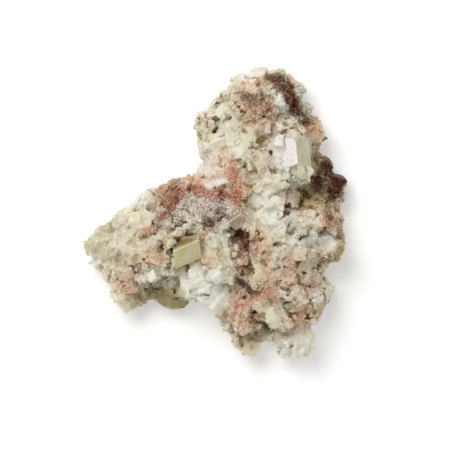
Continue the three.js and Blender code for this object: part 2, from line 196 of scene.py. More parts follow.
def random_spots(mesh, count, draw):
    """Spots spread over the mesh by area: each one's triangle, as its corners' numbers, and weights."""
    places = corners_of(mesh)
    triangles = triangles_of(mesh)
    first, second, third = (places[corner] for corner in triangles.T)
    area = np.linalg.norm(np.cross(second - first, third - first), axis=1)
    picked = draw.choice(len(triangles), count, p=area / area.sum())
    along, across = draw.random((2, count))
    folded = (along + across) > 1
    along, across = np.where(folded, 1 - along, along), np.where(folded, 1 - across, across)
    return triangles[picked], np.stack([1 - along - across, along, across], 1)


def at_spots(values, spots):
    """What a value, given at the mesh's corners, is at each spot."""
    triangles, weights = spots
    return np.einsum("nc,nc...->n...", weights, values[triangles])


def directions_at(mesh, spots):
    """The outward direction at each spot."""
    first, second, third = (corners_of(mesh)[corner] for corner in spots[0].T)
    normals = np.cross(second - first, third - first)
    return normals / np.linalg.norm(normals, axis=1, keepdims=True)


def kept_apart(points, spacing):
    """Which points stay when each keeps its distance from those before it."""
    cells = {}
    kept = []
    for index, (point, cell) in enumerate(zip(points, np.floor(points / spacing).astype(int))):
        near = [
            other
            for i in (-1, 0, 1) for j in (-1, 0, 1) for k in (-1, 0, 1)
            for other in cells.get((cell[0] + i, cell[1] + j, cell[2] + k), ())
        ]
        if all(((points[other] - point) ** 2).sum() > spacing ** 2 for other in near):
            cells.setdefault(tuple(cell), []).append(index)
            kept.append(index)
    return np.array(kept)


def nearest_of(points, others):
    """Index of the nearest of the others to each point."""
    found = np.empty(len(points), int)
    for start in range(0, len(points), 500):
        block = points[start:start + 500, None] - others[None]
        found[start:start + 500] = (block ** 2).sum(2).argmin(1)
    return found


def rhomb_corners(middles, turns, edges):
    """The eight corners of each rhomb."""
    signs = np.array([[i, j, k] for i in (-0.5, 0.5) for j in (-0.5, 0.5) for k in (-0.5, 0.5)])
    local = np.einsum("ij,nkj->nki", rhomb_edges(), signs[None] * edges[:, None])
    return middles[:, None] + np.einsum("nij,nkj->nki", turns, local)


RHOMB_SIDES = np.array([[0, 1, 3, 2], [4, 6, 7, 5], [0, 4, 5, 1], [2, 3, 7, 6], [0, 2, 6, 4], [1, 5, 7, 3]])


def rhombs_mesh(corners, crystals):
    """One mesh of many rhombs; each face carries the number of its crystal."""
    mesh = bpy.data.meshes.new("rhombs")
    sides = RHOMB_SIDES[None] + 8 * np.arange(len(corners))[:, None, None]
    mesh.from_pydata(corners.reshape(-1, 3).tolist(), [], sides.reshape(-1, 4).tolist())
    numbers = mesh.attributes.new("crystal", "INT", "FACE")
    numbers.data.foreach_set("value", np.repeat(crystals, 6).astype(np.int32))
    return mesh


def after_modifiers(whole):
    """The mesh that an object's modifiers make. The object goes."""
    graph = bpy.context.evaluated_depsgraph_get()
    result = bpy.data.meshes.new_from_object(
        whole.evaluated_get(graph), preserve_all_data_layers=True, depsgraph=graph)
    bpy.data.objects.remove(whole)
    return result


def joined(mesh, added):
    """The two closed meshes, joined in one."""
    whole = bpy.data.objects.new("whole", mesh)
    extra = bpy.data.objects.new("extra", added)
    for piece in (whole, extra):
        bpy.context.scene.collection.objects.link(piece)
    union = whole.modifiers.new("union", "BOOLEAN")
    union.operation = "UNION"
    union.solver = "MANIFOLD"
    union.object = extra
    result = after_modifiers(whole)
    bpy.data.objects.remove(extra)
    return result


def rounded_over(mesh):
    """The closed mesh built anew from small even faces, with its edges and corners rounded."""
    whole = bpy.data.objects.new("whole", mesh)
    bpy.context.scene.collection.objects.link(whole)
    remesh = whole.modifiers.new("remesh", "REMESH")
    remesh.mode = "VOXEL"
    remesh.voxel_size = ROUNDING_CELL
    smooth = whole.modifiers.new("smooth", "SMOOTH")
    smooth.factor = 0.5
    smooth.iterations = ROUNDING_TURNS
    return after_modifiers(whole)


def corner_normals(mesh):
    """The outward direction at each corner, from the faces that meet there."""
    normals = np.empty(len(mesh.vertices) * 3, np.float32)
    mesh.vertices.foreach_get("normal", normals)
    return normals.reshape(-1, 3).astype(float)


def cleft_depths(mesh, bare, draw):
    """How deep the clefts go at each corner of the rounded mesh, in mm."""
    places, outward = corners_of(mesh), corner_normals(mesh)
    wander = np.array([noise.noise_vector(Vector(place) * 0.28) for place in places])
    openness = np.array([noise.noise(Vector(place) * 0.17) for place in places])
    middles = at_spots(places, random_spots(mesh, LUMP_TRIES, draw))
    middles = middles[kept_apart(middles, LUMP_SPACING * 0.8)]
    lumps = KDTree(len(middles))
    for index, middle in enumerate(middles):
        lumps.insert(middle, index)
    lumps.balance()
    strayed = places + wander * CLEFT_WANDER
    gaps = np.array([[found[2] for found in lumps.find_n(place, 2)] for place in strayed])
    open_here = np.clip((openness + 0.5 - (1 - CLEFT_SHARE)) * 2.5, 0, 1)
    depths = CLEFT_DEPTH * open_here * np.exp(-((gaps[:, 1] - gaps[:, 0]) / CLEFT_WIDTH) ** 2)
    on_the_cut = (places[:, 2] < CUT_MARGIN) | (outward[:, 2] < -0.6)
    depths[on_the_cut] = 0
    depths[on_rhombs(places, bare, BARE_MARGIN)] *= 0.15
    return depths


def grain_relief(places, bare):
    """How far the rounded body's fine grain stands out at each place, in mm."""
    small = np.array([noise.noise(Vector(place) * 0.95) for place in places])
    large = np.array([noise.noise(Vector(place) * 0.5) for place in places])
    relief = GRAIN_RELIEF * (1.6 * small + 1.4 * large)
    relief[places[:, 2] < CUT_MARGIN] = 0
    relief[on_rhombs(places, bare, BARE_MARGIN)] *= 0.35
    return relief


def in_fixed_order(mesh):
    """The same mesh, with its corners and faces in an order that only their places decide."""
    places = corners_of(mesh)
    order = np.lexsort(places.T)
    number = np.empty(len(order), int)
    number[order] = np.arange(len(order))
    number = number.tolist()
    faces = []
    for face in mesh.polygons:
        ring = [number[corner] for corner in face.vertices]
        start = ring.index(min(ring))
        faces.append(ring[start:] + ring[:start])
    by_place = sorted(range(len(faces)), key=faces.__getitem__)
    crystals = np.zeros(len(faces), np.int32)
    if "crystal" in mesh.attributes:
        mesh.attributes["crystal"].data.foreach_get("value", crystals)
    ordered = bpy.data.meshes.new("crust")
    ordered.from_pydata(places[order].tolist(), [], [faces[index] for index in by_place])
    numbers = ordered.attributes.new("crystal", "INT", "FACE")
    numbers.data.foreach_set("value", crystals[by_place])
    ordered.polygons.foreach_set("use_smooth", np.zeros(len(faces), bool))
    return ordered


def thinned_out(mesh, most):
    """The mesh with its least useful triangles merged, so that no more than the given number stay."""
    whole = bpy.data.objects.new("whole", mesh)
    bpy.context.scene.collection.objects.link(whole)
    thin = whole.modifiers.new("thin", "DECIMATE")
    thin.ratio = min(1.0, most / len(triangles_of(mesh)))
    return in_fixed_order(after_modifiers(whole))


def layers_apart(middles, reaches):
    """Sorts the crystals into layers in which no two touch."""
    widest = 2 * reaches.max()
    cells = {}
    layer_of = np.zeros(len(middles), int)
    for index, (middle, cell) in enumerate(zip(middles, np.floor(middles / widest).astype(int))):
        taken = {
            layer_of[other]
            for i in (-1, 0, 1) for j in (-1, 0, 1) for k in (-1, 0, 1)
            for other in cells.get((cell[0] + i, cell[1] + j, cell[2] + k), ())
            if np.linalg.norm(middles[other] - middle) < reaches[other] + reaches[index]
        }
        layer_of[index] = next(layer for layer in range(len(middles)) if layer not in taken)
        cells.setdefault(tuple(cell), []).append(index)
    return [np.flatnonzero(layer_of == layer) for layer in range(layer_of.max() + 1)]


def rhomb_of(at, edges, pose):
    """One rhomb's middle, turn and edges, as arrays; the pose is its turn, pitch and roll in degrees."""
    turn, pitch, roll = np.radians(pose)
    about_x = turned(np.array([[1.0, 0, 0]]), np.array([roll]))[0]
    about_y = turned(np.array([[0, 1.0, 0]]), np.array([-pitch]))[0]
    about_z = turned(np.array([[0, 0, 1.0]]), np.array([turn]))[0]
    return np.array([at], float), (about_z @ about_y @ about_x)[None], np.array([edges], float)


def on_rhombs(points, rhombs, margin):
    """Whether each point lies on one of the rhombs, or within the margin of it."""
    found = np.zeros(len(points), bool)
    for at, edges, pose in rhombs.values():
        middle, turn, edges = rhomb_of(at, edges, pose)
        local = (points - middle) @ np.linalg.inv((turn[0] @ rhomb_edges()).T)
        found |= (np.abs(local) < edges / 2 + margin).all(1)
    return found


def overhang(corners, plain_tree):
    """How far the corners reach beyond the plain solid's outline as seen from above, in mm."""
    reach = 0.0
    for corner in corners:
        if plain_tree.ray_cast(Vector((corner[0], corner[1], HIGH_ABOVE)), Vector((0, 0, -1)))[0] is None:
            reach = max(reach, plain_tree.find_nearest(Vector(corner))[3])
    return reach


def inside_box(corners):
    """Which crystals keep all their corners in the space that added crystals may take."""
    low, high = plain_box
    low = low + [INSIDE_BOX, INSIDE_BOX, ABOVE_REST]
    return ((corners > low) & (corners < high - INSIDE_BOX)).all((1, 2))


def sprouted(mesh, sort, knobs, bare, draw):
    """Grows one sort of crystal over the mesh. Returns the mesh and how many have grown."""
    spots = random_spots(mesh, sort["tries"], draw)
    points, outward = at_spots(corners_of(mesh), spots), directions_at(mesh, spots)
    size = sort["size"][0] + (sort["size"][1] - sort["size"][0]) * draw.random(len(points)) ** 1.8
    knob = nearest_of(points, knobs["middles"])
    away = (points - knobs["middles"][knob]) / KNOB_REACH
    far = np.clip(np.linalg.norm(away, axis=1, keepdims=True), 0, 1)
    lean = outward + KNOB_FAN * away
    lean /= np.linalg.norm(lean, axis=1, keepdims=True)
    stray = turned(
        draw.normal(size=(len(points), 3)), np.radians(KNOB_DISORDER) * draw.normal(size=len(points)))
    rogue = draw.random(len(points)) < ROGUES
    stray[rogue] = turned(draw.normal(size=(rogue.sum(), 3)), draw.random(rogue.sum()) * 1.6)
    turns = facing(lean) @ knobs["turns"][knob] @ stray
    edges = size[:, None] * (1 - 0.35 * draw.random((len(points), 3)))
    edges *= knobs["coarseness"][knob][:, None]
    middles = points + outward * (sort["knob_rise"] * (0.6 - far ** 2) - sort["sunk"] * size[:, None])
    corners = rhomb_corners(middles, turns, edges)
    fits = inside_box(corners)
    fits &= ~on_rhombs(middles, bare, 0.3 * size[:, None])
    stains = stain_strengths(points)
    wanted = sort["everywhere"] + stains["rust"] + stains["lilac"] + stains["iron"] + 0.6 * stains["specks"]
    fits &= draw.random(len(points)) < wanted - 0.75 * stains["white"]
    chosen = np.flatnonzero(fits)
    fits[chosen] = [overhang(corner_set, plain_tree) < MOST_OVERHANG for corner_set in corners[chosen]]
    chosen = np.flatnonzero(fits)
    chosen = chosen[kept_apart(points[chosen], sort["apart"])]
    numbers = 1 + np.arange(len(chosen))
    reaches = np.linalg.norm(corners[chosen] - middles[chosen][:, None], axis=2).max(1)
    for layer in layers_apart(middles[chosen], reaches):
        mesh = joined(mesh, rhombs_mesh(corners[chosen][layer], numbers[layer]))
    return mesh, len(chosen)


def without_loose_bits(mesh):
    """Deletes what isn't joined to the main body, such as the skin of a sealed hollow."""
    body = bmesh.new()
    body.from_mesh(mesh)
    body.verts.ensure_lookup_table()
    island = np.full(len(body.verts), -1)
    islands = 0
    for start in body.verts:
        if island[start.index] < 0:
            waiting = [start]
            island[start.index] = islands
            while waiting:
                for edge in waiting.pop().link_edges:
                    for vert in edge.verts:
                        if island[vert.index] < 0:
                            island[vert.index] = islands
                            waiting.append(vert)
            islands += 1
    main = np.bincount(island).argmax()
    bmesh.ops.delete(body, geom=[v for v in body.verts if island[v.index] != main], context="VERTS")
    body.to_mesh(mesh)
    body.free()
    return mesh


def tree_of(mesh):
    """The mesh in a form that rays can be cast at."""
    return BVHTree.FromPolygons(corners_of(mesh).tolist(), triangles_of(mesh).tolist())


def kept_in_box(mesh):
    """Moves corners that rounding has pushed out of the specimen's box back to its sides."""
    low, high = plain_box
    places = np.clip(corners_of(mesh), low, high - HAIR)
    mesh.vertices.foreach_set("co", places.astype(np.float32).ravel())


# What colours the crust: iron and manganese from the vein's water, caught in patches, and the nooks
# between crystals, where it dries last and where the darkening is also painted shade. Painted shade
# also tints the hollows between lumps and the steep sides. A patch is x, y, half length, half width in
# mm, its turn in degrees and its strength.
STAINS = {
    "peach": [
        (16, 53.5, 6, 3.5, -10, 0.8), (15, 43, 9, 6, -20, 0.7), (31, 54, 4, 3.5, 20, 0.6),
        (38.5, 35, 5.5, 5.5, -30, 0.8), (-5, 14, 8, 4, 10, 0.9), (6.5, 16, 3.5, 4, 0, 0.9),
        (-29.5, -17, 5.5, 4, 20, 0.55), (-23.5, -17.5, 3.5, 3.5, 0, 0.75), (-36, -28, 4.5, 6.5, 0, 0.65),
        (18, -13, 3.5, 8, 15, 0.85), (30.5, -22, 4.5, 7, 0, 0.75), (22, -26.5, 5, 4, 0, 0.7),
        (17.5, -32.5, 8, 5, 0, 0.9), (7, -38, 6, 6, 0, 0.8), (39.5, -29, 4, 3.5, 0, 0.7),
        (34, -41, 4.5, 6.5, -10, 0.75), (38.5, -1, 6, 4, 0, 0.6), (45.5, -4, 4, 6, 0, 0.75),
        (14.5, -43, 4, 4.5, -40, 0.7), (4, 25, 5, 4.5, 0, 0.5), (10, 8, 4, 6, 0, 0.7),
        (-3, -20, 6, 5, 0, 0.6), (-5, 22, 5, 3.5, 0, 0.55), (-4, 35, 5, 5, 0, 0.35),
        (-20, 9, 7, 4, 30, 0.7), (-30, -8, 5, 4, 0, 0.35), (41, -14, 5, 5, 0, 0.4),
        (15, 35, 4, 3, 0, 0.5), (29, 24, 4, 3, 0, 0.3), (19, 19, 5, 5, 0, 0.4),
        (28, 7, 4, 4, 0, 0.35), (-15, -10, 5, 3, 40, 0.5), (12, -50, 5, 4, 0, 0.5),
        (-44, -22, 5, 4, 0, 0.3), (10, -21, 4, 5, 0, 0.5), (-32, 1, 4, 3, 30, 0.3),
        (30, -46, 4, 4, 0, 0.35), (47, 3, 4, 4, 0, 0.5), (42, -38, 3, 3, 0, 0.6),
    ],
    "rust": [
        (16, 53.5, 4, 2.5, -15, 0.4), (17, 41.5, 7, 4.5, -20, 0.55), (38.5, 35.5, 4, 3.5, -30, 0.6),
        (-7, 14, 5, 2, 15, 0.6), (6.5, 16, 2.8, 3.5, 0, 0.95), (-23, -17.5, 2, 2, 0, 0.4),
        (-34, -29, 3, 5, 0, 0.45), (15.5, -14, 2, 5, 20, 0.5), (31, -22, 3, 3.5, 0, 0.3),
        (19, -32, 5.5, 3, 5, 0.65), (10, -34.5, 2.5, 4.5, 0, 0.5), (39.5, -28, 2, 2, 0, 0.5),
        (35, -40, 3, 3, -10, 0.35), (45, -1, 3, 3, 0, 0.7), (-19, 10, 5, 2.5, 35, 0.55),
        (9, 8, 2.5, 4.5, 0, 0.7), (48, -5, 1.5, 3, 0, 0.5), (42, -38, 2, 1.5, 0, 0.5),
        (0, 9, 9, 2.5, -4, 0.8), (-26, -6, 3, 1.5, 15, 0.8), (12, -17, 1.5, 4, 0, 0.7),
        (14, -42, 1.5, 4, -40, 0.5),
    ],
    "iron": [
        (-7, 9.5, 4, 1.6, -10, 0.75), (1, 8, 6, 1.7, -3, 0.85), (8.5, 7, 2.2, 3, 0, 0.7),
        (-16.5, 6.5, 4, 2.4, 25, 0.95), (-13, 9.5, 3, 1.5, -10, 0.5), (-20, 0, 4.8, 1.9, 48, 0.75),
        (-24.5, -5.5, 2.5, 1.2, 20, 0.55), (45.5, 0.5, 1.3, 2, 0, 0.6), (48.5, -5, 1, 2.5, 0, 0.5),
        (10.8, -13.5, 1.3, 3.5, 10, 0.75), (9, -35.5, 1.5, 2.5, 0, 0.45), (38, 36, 3, 2.5, 0, 0.4),
        (35, 41, 2.5, 3, 30, 0.4), (6.8, 17, 1.5, 2, 0, 0.4),
    ],
    "soot": [
        (22, 55, 3, 2, 20, 0.6), (26.5, 51.5, 4, 3, -45, 0.85), (29.8, 47, 2.6, 4.6, 20, 0.95),
        (33, 42, 2.3, 4, 30, 0.75), (36, 37, 2.5, 2.5, 0, 0.5), (15, 45, 5, 3, -25, 0.45),
        (10.5, 48, 2, 1.5, 0, 0.5), (-15.5, 6, 2.5, 1.5, -30, 0.6), (-18, 2, 2, 1.2, 50, 0.5),
        (-2, -3.5, 3.2, 2, -20, 0.6), (2.5, 1.6, 2.5, 1.2, 20, 0.6), (0, -6.5, 2.5, 1, 0, 0.3),
        (49.5, 12.5, 3, 6, -25, 0.9), (46.5, 19, 2.4, 3, 0, 0.75), (34.5, -9.5, 1.5, 1.5, 30, 0.5),
    ],
    # Dark patches in pits, cracks and clefts and on low sides: in part real stain, in part painted shade.
    "brown_stain_and_shade": [
        (9.7, -8.2, 2.2, 2, 20, 1), (12, -11.5, 1.5, 3.5, 10, 0.75), (13.5, -19.5, 1.3, 4.5, 5, 0.7),
        (10.2, -27.3, 2.4, 1.2, -40, 1), (14, -30, 1.2, 2.5, 35, 0.8), (20, -44.5, 3, 1.2, -35, 0.55),
        (26, -46.5, 2.2, 0.9, -20, 0.4), (28, -37.2, 0.8, 3, 28, 0.6), (30.3, -41.2, 0.8, 3, 20, 0.6),
        (41, 12.8, 2.6, 4.4, 0, 0.85), (49, 12.5, 2.8, 6, -25, 1), (46.5, 18.5, 2.2, 3.2, 0, 0.9),
        (44, 19.5, 2.4, 2, 0, 0.5), (28.7, 3.2, 0.8, 0.8, 0, 1), (34.3, -10.2, 0.6, 1.2, 20, 0.9),
        (23.2, -11.6, 0.9, 0.7, 0, 1), (18.5, -9.8, 0.6, 0.9, 0, 0.9), (35.8, -23.6, 0.8, 0.8, 0, 0.9),
        (24, 48.3, 0.9, 1.2, 20, 0.9), (30.8, 46, 2, 5, 20, 0.45), (10, 41, 0.9, 0.6, 0, 0.9),
        (28.8, 38.4, 0.7, 0.7, 0, 0.9),
        (-17, 10.5, 3.5, 1.6, 20, 0.55), (44.6, 29.5, 0.8, 2, -20, 0.7), (50.3, 5, 0.8, 3.5, -20, 0.6),
        (9, 21.5, 0.9, 0.9, 0, 0.6), (22.2, 24, 0.8, 1.2, 0, 0.8), (-22, -12, 1, 2.4, -30, 0.55),
        (2, -1.5, 2.5, 0.9, 35, 0.7), (-12, -25.5, 1.5, 1, 0, 0.4), (-13, -38, 2.5, 1.5, 30, 0.35),
        (35, -29.5, 0.7, 1.5, 0, 0.4), (37, 55, 1.5, 2, 0, 0.2), (46.5, -19.5, 3.5, 1.5, 20, 0.3),
        (44.5, 24, 2, 2.5, 0, 0.4), (-19.5, 0.5, 1.8, 0.9, 50, 0.4), (4.5, 47, 2, 1.5, 0, 0.25),
    ],
    # Patches in hollows, on cleft sides and on low shaded sides: in part stain, in part painted shade.
    "olive_stain_and_shade": [
        (18.5, 29.5, 2.2, 3.6, 0, 0.85), (25, 38.5, 2.5, 1.6, 30, 0.7), (12, 37.5, 3.5, 1.8, -15, 0.55),
        (40, 21.5, 2.6, 3.2, 0, 0.75), (37, 7, 5, 4.5, 0, 0.9), (47, -18, 5, 3, 20, 0.6),
        (-28.5, -9, 2.2, 1.5, 0, 0.8), (-21.5, -14, 1.2, 3.2, -30, 0.8), (-26, -30.5, 3.5, 2, 10, 0.85),
        (-32, -35, 3.5, 3.5, 40, 0.55), (-50.5, -13, 3, 3, 0, 0.5), (12.5, -23, 1.5, 4, 0, 0.7),
        (16, -41.5, 2.5, 3, -30, 0.6), (21, -46.5, 3.5, 2.2, -20, 0.6), (4.5, -38, 1, 4.5, -32, 0.75),
        (-18.5, -34.2, 8.5, 4.2, -5, 0.95), (38, -7, 2.5, 5, 0, 0.45), (13.5, 1.5, 2.2, 5.5, 0, 0.6),
        (6, 33, 4, 1.5, 20, 0.4), (52, -3, 1.5, 6, 0, 0.6), (50.5, -12, 2, 8, 0, 0.7),
        (27, -35.5, 3.5, 2.5, 0, 0.35),
        (44, 10.5, 4.5, 8, 0, 0.8), (46, 22, 3.5, 4, 0, 0.7), (14, -51.5, 3, 3, 0, 0.45),
        (-40, -4.5, 5, 5.5, 0, 0.3), (-42, -14.5, 6, 5, 0, 0.35), (-16.5, 13, 5, 3, 25, 0.55),
        (41, 26, 2.5, 4, 0, 0.6), (42, -36.5, 2.5, 4, 0, 0.4), (13.5, 12, 2.5, 6, 0, 0.45),
        (32.5, 14.5, 3, 3, 0, 0.3), (22, -5.5, 4, 3, 0, 0.3), (3, 46.5, 3, 2.5, 0, 0.4),
        (-36, -19, 7, 3, 0, 0.3), (20, -17.5, 2, 4, -30, 0.4), (1.5, -15.5, 2, 4, 0, 0.35),
        (16, 22, 2, 2.5, 0, 0.4), (31, 33, 4, 1.5, 10, 0.25), (-46, -5, 4, 3, 30, 0.3),
        (-19, -21, 1.8, 2, 0, 0.6), (35, 51, 2, 4, 20, 0.3), (27, -23.5, 2, 3, -35, 0.3),
    ],
    "lilac": [
        (-3.5, 2.5, 11, 3, -8, 0.9), (40, -32.5, 3, 2.5, 0, 0.6), (-17, -3, 5, 2.5, 50, 0.8),
        (0.5, -3, 6.5, 3, 0, 0.55), (8.5, -1, 4, 3, 30, 0.6), (16, 45.5, 5.5, 4, 0, 0.35),
        (-4, 6, 8, 2, -4, 0.7), (40, 1.5, 4, 2, 0, 0.4), (22, 24, 3.5, 3, 0, 0.35),
        (-29, -22, 3, 2, 0, 0.3),
    ],
    "white": [
        (-8, -28, 5.5, 6.5, 0, 0.9), (0.5, -34, 5, 4.5, 0, 0.8), (1, -24, 2.5, 3, 0, 0.8),
        (14, 55.5, 5, 2.5, 0, 0.8), (25.5, 26.5, 3.5, 4.5, 0, 0.7), (43, -10, 5, 3, 0, 0.7),
        (26.5, -55.5, 2, 3, 0, 0.9), (21, 3.5, 7, 9, 0, 0.5), (26.5, 44, 2.5, 4, 0, 0.85),
        (-2.5, 11, 2.2, 2, 0, 0.8), (2.5, 13, 2.5, 2, 0, 0.8), (27, 17.5, 6, 2.8, 0, 0.5),
        (-4, 19.5, 5, 6.5, 0, 0.5), (33, -52, 6, 6, 0, 0.55), (41, -33.5, 2.5, 2.5, 0, 0.6),
        (26, -2, 4.5, 4, 0, 0.5), (-25.5, -24.5, 1.5, 2, 0, 0.7), (-30, 5.5, 6.5, 4, 30, 0.5),
        (38, -2.5, 4, 2.5, 0, 0.5), (1, -8.5, 3, 3, 0, 0.5), (-47.5, -19, 3.5, 3.5, 0, 0.45),
        (9, 25, 2, 3.5, 20, 0.5), (24, 33.5, 4, 3, 0, 0.5), (31, -11, 4, 5, 0, 0.4),
        (24.5, -22, 3, 3, 30, 0.4), (0.5, 29, 4, 4, 0, 0.35), (-39, -12.5, 3, 4, 0, 0.4),
        (17, -37.5, 3.5, 3, 0, 0.35), (27.5, -29.5, 3, 2, 0, 0.4), (-3, 41, 5, 3, 40, 0.35),
        (44.5, -10, 4, 2.5, 0, 0.6), (6, 31, 5, 5, 0, 0.35),
    ],
    "specks": [
        (16, 43.5, 7, 5, -20, 1), (28, 49, 6.5, 8, 40, 1), (-2, -3.5, 4.5, 3, 0, 1),
        (2.5, 1.5, 3.5, 2, 0, 0.9), (6, -2, 3, 2, 0, 0.6), (-35, -30, 4, 5, 0, 0.8),
        (-6, 37, 3.5, 3.5, 0, 0.5), (-2.5, 29, 3, 2, 0, 0.5), (36, 38.5, 5.5, 6.5, 0, 0.9),
        (-8, 2.5, 10.5, 4, 0, 0.7), (-18, 1.5, 6.5, 6, 45, 0.9), (19, -32, 6.5, 4, 0, 0.7),
        (34, -8.5, 5, 5, 0, 0.5), (14, -43.5, 5, 5, 0, 0.6), (-22, -26, 6, 4, 0, 0.5),
        (22, -14.5, 9, 9, 0, 0.35), (29, -38, 5, 4, 0, 0.45), (8.5, 33, 4, 3, 0, 0.4),
        (30, 12, 5, 4, 0, 0.35), (39, -31, 4, 5, 0, 0.4), (46, 10, 5, 8, 0, 0.6),
    ],
}
STAIN_WANDER = 1.6  # mm that a patch's edge wanders
NOOK_REACH = 4.0  # mm within which other crystals shut a place in
HOLLOW_SHADE_REACH = 11.0  # mm within which whole lumps do
NOOK_START = 0.35  # mm above the crust, where the looking starts
NOOK_RAYS = 11  # directions tried at each place


def stain_strengths(points):
    """How strongly each stain shows at each point, from 0 to 1."""
    wander = np.array([noise.noise_vector(Vector(point) * 0.35) for point in points])
    x, y = (points[:, :2] + STAIN_WANDER * wander[:, :2]).T
    strengths = {}
    for stain, patches in STAINS.items():
        clear = np.ones(len(points))
        for at_x, at_y, long, wide, turn, strength in patches:
            cos, sin = math.cos(math.radians(turn)), math.sin(math.radians(turn))
            along = ((x - at_x) * cos + (y - at_y) * sin) / long
            across = ((y - at_y) * cos - (x - at_x) * sin) / wide
            clear *= 1 - strength * np.exp(-(along ** 2 + across ** 2) ** 1.5 * 0.55)
        strengths[stain] = 1 - clear
    return strengths


noise.seed_set(2)  # the noise that gives vectors starts from it
draw = np.random.default_rng(20)
crust_mesh = closed_copy_of("calcite_cluster")
plain_box = corners_of(crust_mesh).min(0), corners_of(crust_mesh).max(0)
plain_tree = tree_of(crust_mesh)
crust_mesh.attributes.new("crystal", "INT", "FACE")
knob_spots = random_spots(crust_mesh, KNOB_TRIES, draw)
knob_middles = at_spots(corners_of(crust_mesh), knob_spots)
knob_kept = kept_apart(knob_middles, KNOB_SPACING)
knob_lean = turned(draw.normal(size=(len(knob_kept), 3)), draw.random(len(knob_kept)) * math.radians(50))
knob_spin = turned(
    np.broadcast_to([0, 0, 1.0], (len(knob_kept), 3)), draw.random(len(knob_kept)) * 2 * math.pi)
knobs = {
    "middles": knob_middles[knob_kept],
    "turns": knob_lean @ knob_spin,
    "coarseness": 0.75 + 0.5 * draw.random(len(knob_kept)),
}
crust_mesh = sprouted(crust_mesh, OLD, knobs, BARE_RHOMBS, draw)[0]
cover_draw = np.random.default_rng(7)
for at, size in COVERING:
    pose = tuple(cover_draw.random(3) * 360)
    cover = rhomb_corners(*rhomb_of(at, (size, size * 0.8, size * 0.9), pose))
    crust_mesh = joined(crust_mesh, rhombs_mesh(cover, np.array([1])))
below = tree_of(crust_mesh)
bare = dict(BARE_RHOMBS)
for (x, y, rise), size, pose in MILKY_BLOCKS:
    top = below.ray_cast(Vector((x, y, HIGH_ABOVE)), Vector((0, 0, -1)))[0]
    if top is None:
        top = below.find_nearest(Vector((x, y, HALF_UP)))[0]
    middle = max(top.z + rise - BLOCK_SUNK * size[0], ABOVE_REST + BLOCK_CLEARANCE * size[0])
    bare[(x, y)] = (x, y, middle), size, pose
    crust_mesh = joined(crust_mesh, rhombs_mesh(rhomb_corners(*rhomb_of(*bare[(x, y)])), np.array([1])))
crust_mesh = rounded_over(crust_mesh)
relief = grain_relief(corners_of(crust_mesh), bare) - cleft_depths(crust_mesh, bare, draw)
carved = corners_of(crust_mesh) + corner_normals(crust_mesh) * relief[:, None]
crust_mesh.vertices.foreach_set("co", carved.astype(np.float32).ravel())
crust_mesh = thinned_out(crust_mesh, ROUNDED_SHARE * len(triangles_of(crust_mesh)))
kept_in_box(crust_mesh)
crust_mesh.polygons.foreach_set("use_smooth", np.ones(len(crust_mesh.polygons), bool))
young_crystals = 0
crust_mesh, young_crystals = sprouted(crust_mesh, YOUNG, knobs, bare, draw)
crust_mesh = without_loose_bits(crust_mesh)
crust_mesh = thinned_out(crust_mesh, MOST_TRIANGLES)
kept_in_box(crust_mesh)


def nook_depths(points, outward, tree, reach, draw):
    """How shut in each point is by the crystals round it, from 0 in the open to 1."""
    rays = draw.normal(size=(NOOK_RAYS, 3))
    rays /= np.linalg.norm(rays, axis=1, keepdims=True)
    depths = np.empty(len(points))
    for index, (point, normal) in enumerate(zip(points, outward)):
        start = Vector(point + normal * NOOK_START)
        shut = 0.0
        weight = 0.0
        for ray in rays:
            cos = ray @ normal
            ray = ray if cos > 0 else -ray
            hit = tree.ray_cast(start, Vector(ray), reach)
            shut += abs(cos) * (0 if hit[0] is None else 1 - hit[3] / reach)
            weight += abs(cos)
        depths[index] = shut / weight
    return depths


def add_layer(mesh, name, values, domain="POINT"):
    layer = mesh.attributes.new(name, "FLOAT", domain)
    layer.data.foreach_set("value", np.asarray(values, np.float32))


crust_tree = tree_of(crust_mesh)
crust_corners = corners_of(crust_mesh)
for stain, strengths in stain_strengths(crust_corners).items():
    add_layer(crust_mesh, stain, strengths)
crust_outward = corner_normals(crust_mesh)
# Painted shade: the next two layers measure how far crystals, then whole lumps, shut each place in, and the
# shader darkens by them; the first stands in part for the stain that dries there too.
add_layer(crust_mesh, "nook_stain_and_shade", nook_depths(crust_corners, crust_outward, crust_tree, NOOK_REACH, draw))
add_layer(crust_mesh, "hollow", nook_depths(crust_corners, crust_outward, crust_tree, HOLLOW_SHADE_REACH, draw))
# Painted shade: how steep each side is, for darkening the sides.
add_layer(crust_mesh, "flank_shade", np.clip((0.5 - crust_outward[:, 2]) / 0.6, 0, 1))
crystal_of_face = np.empty(len(crust_mesh.polygons), np.int32)
crust_mesh.attributes["crystal"].data.foreach_get("value", crystal_of_face)
add_layer(crust_mesh, "tint", draw.random(young_crystals + 1)[crystal_of_face], "FACE")
add_layer(crust_mesh, "gloss", draw.random(young_crystals + 1)[crystal_of_face], "FACE")
add_layer(crust_mesh, "crisp", crystal_of_face > 0, "FACE")


def colour(code):
    """A colour as the shader wants it, from its usual six-digit code."""
    shares = np.array([int(code[i:i + 2], 16) for i in (1, 3, 5)]) / 255
    linear = np.where(shares <= 0.04045, shares / 12.92, ((shares + 0.055) / 1.055) ** 2.4)
    return (*linear, 1.0)


def node(tree, kind, inputs=None, **settings):
    """Adds a node. Its inputs are sockets to link from, or values."""
    made = tree.nodes.new("ShaderNode" + kind)
    for setting, value in settings.items():
        setattr(made, setting, value)
    for socket, value in (inputs or {}).items():
        if isinstance(value, bpy.types.NodeSocket):
            tree.links.new(value, made.inputs[socket])
        else:
            made.inputs[socket].default_value = value
    return made


def layer_value(tree, name):
    return node(tree, "Attribute", attribute_name=name).outputs["Fac"]


def blended(tree, share, first, second):
    mix = node(tree, "Mix", {0: share, 6: first, 7: second}, data_type="RGBA")
    return mix.outputs[2]


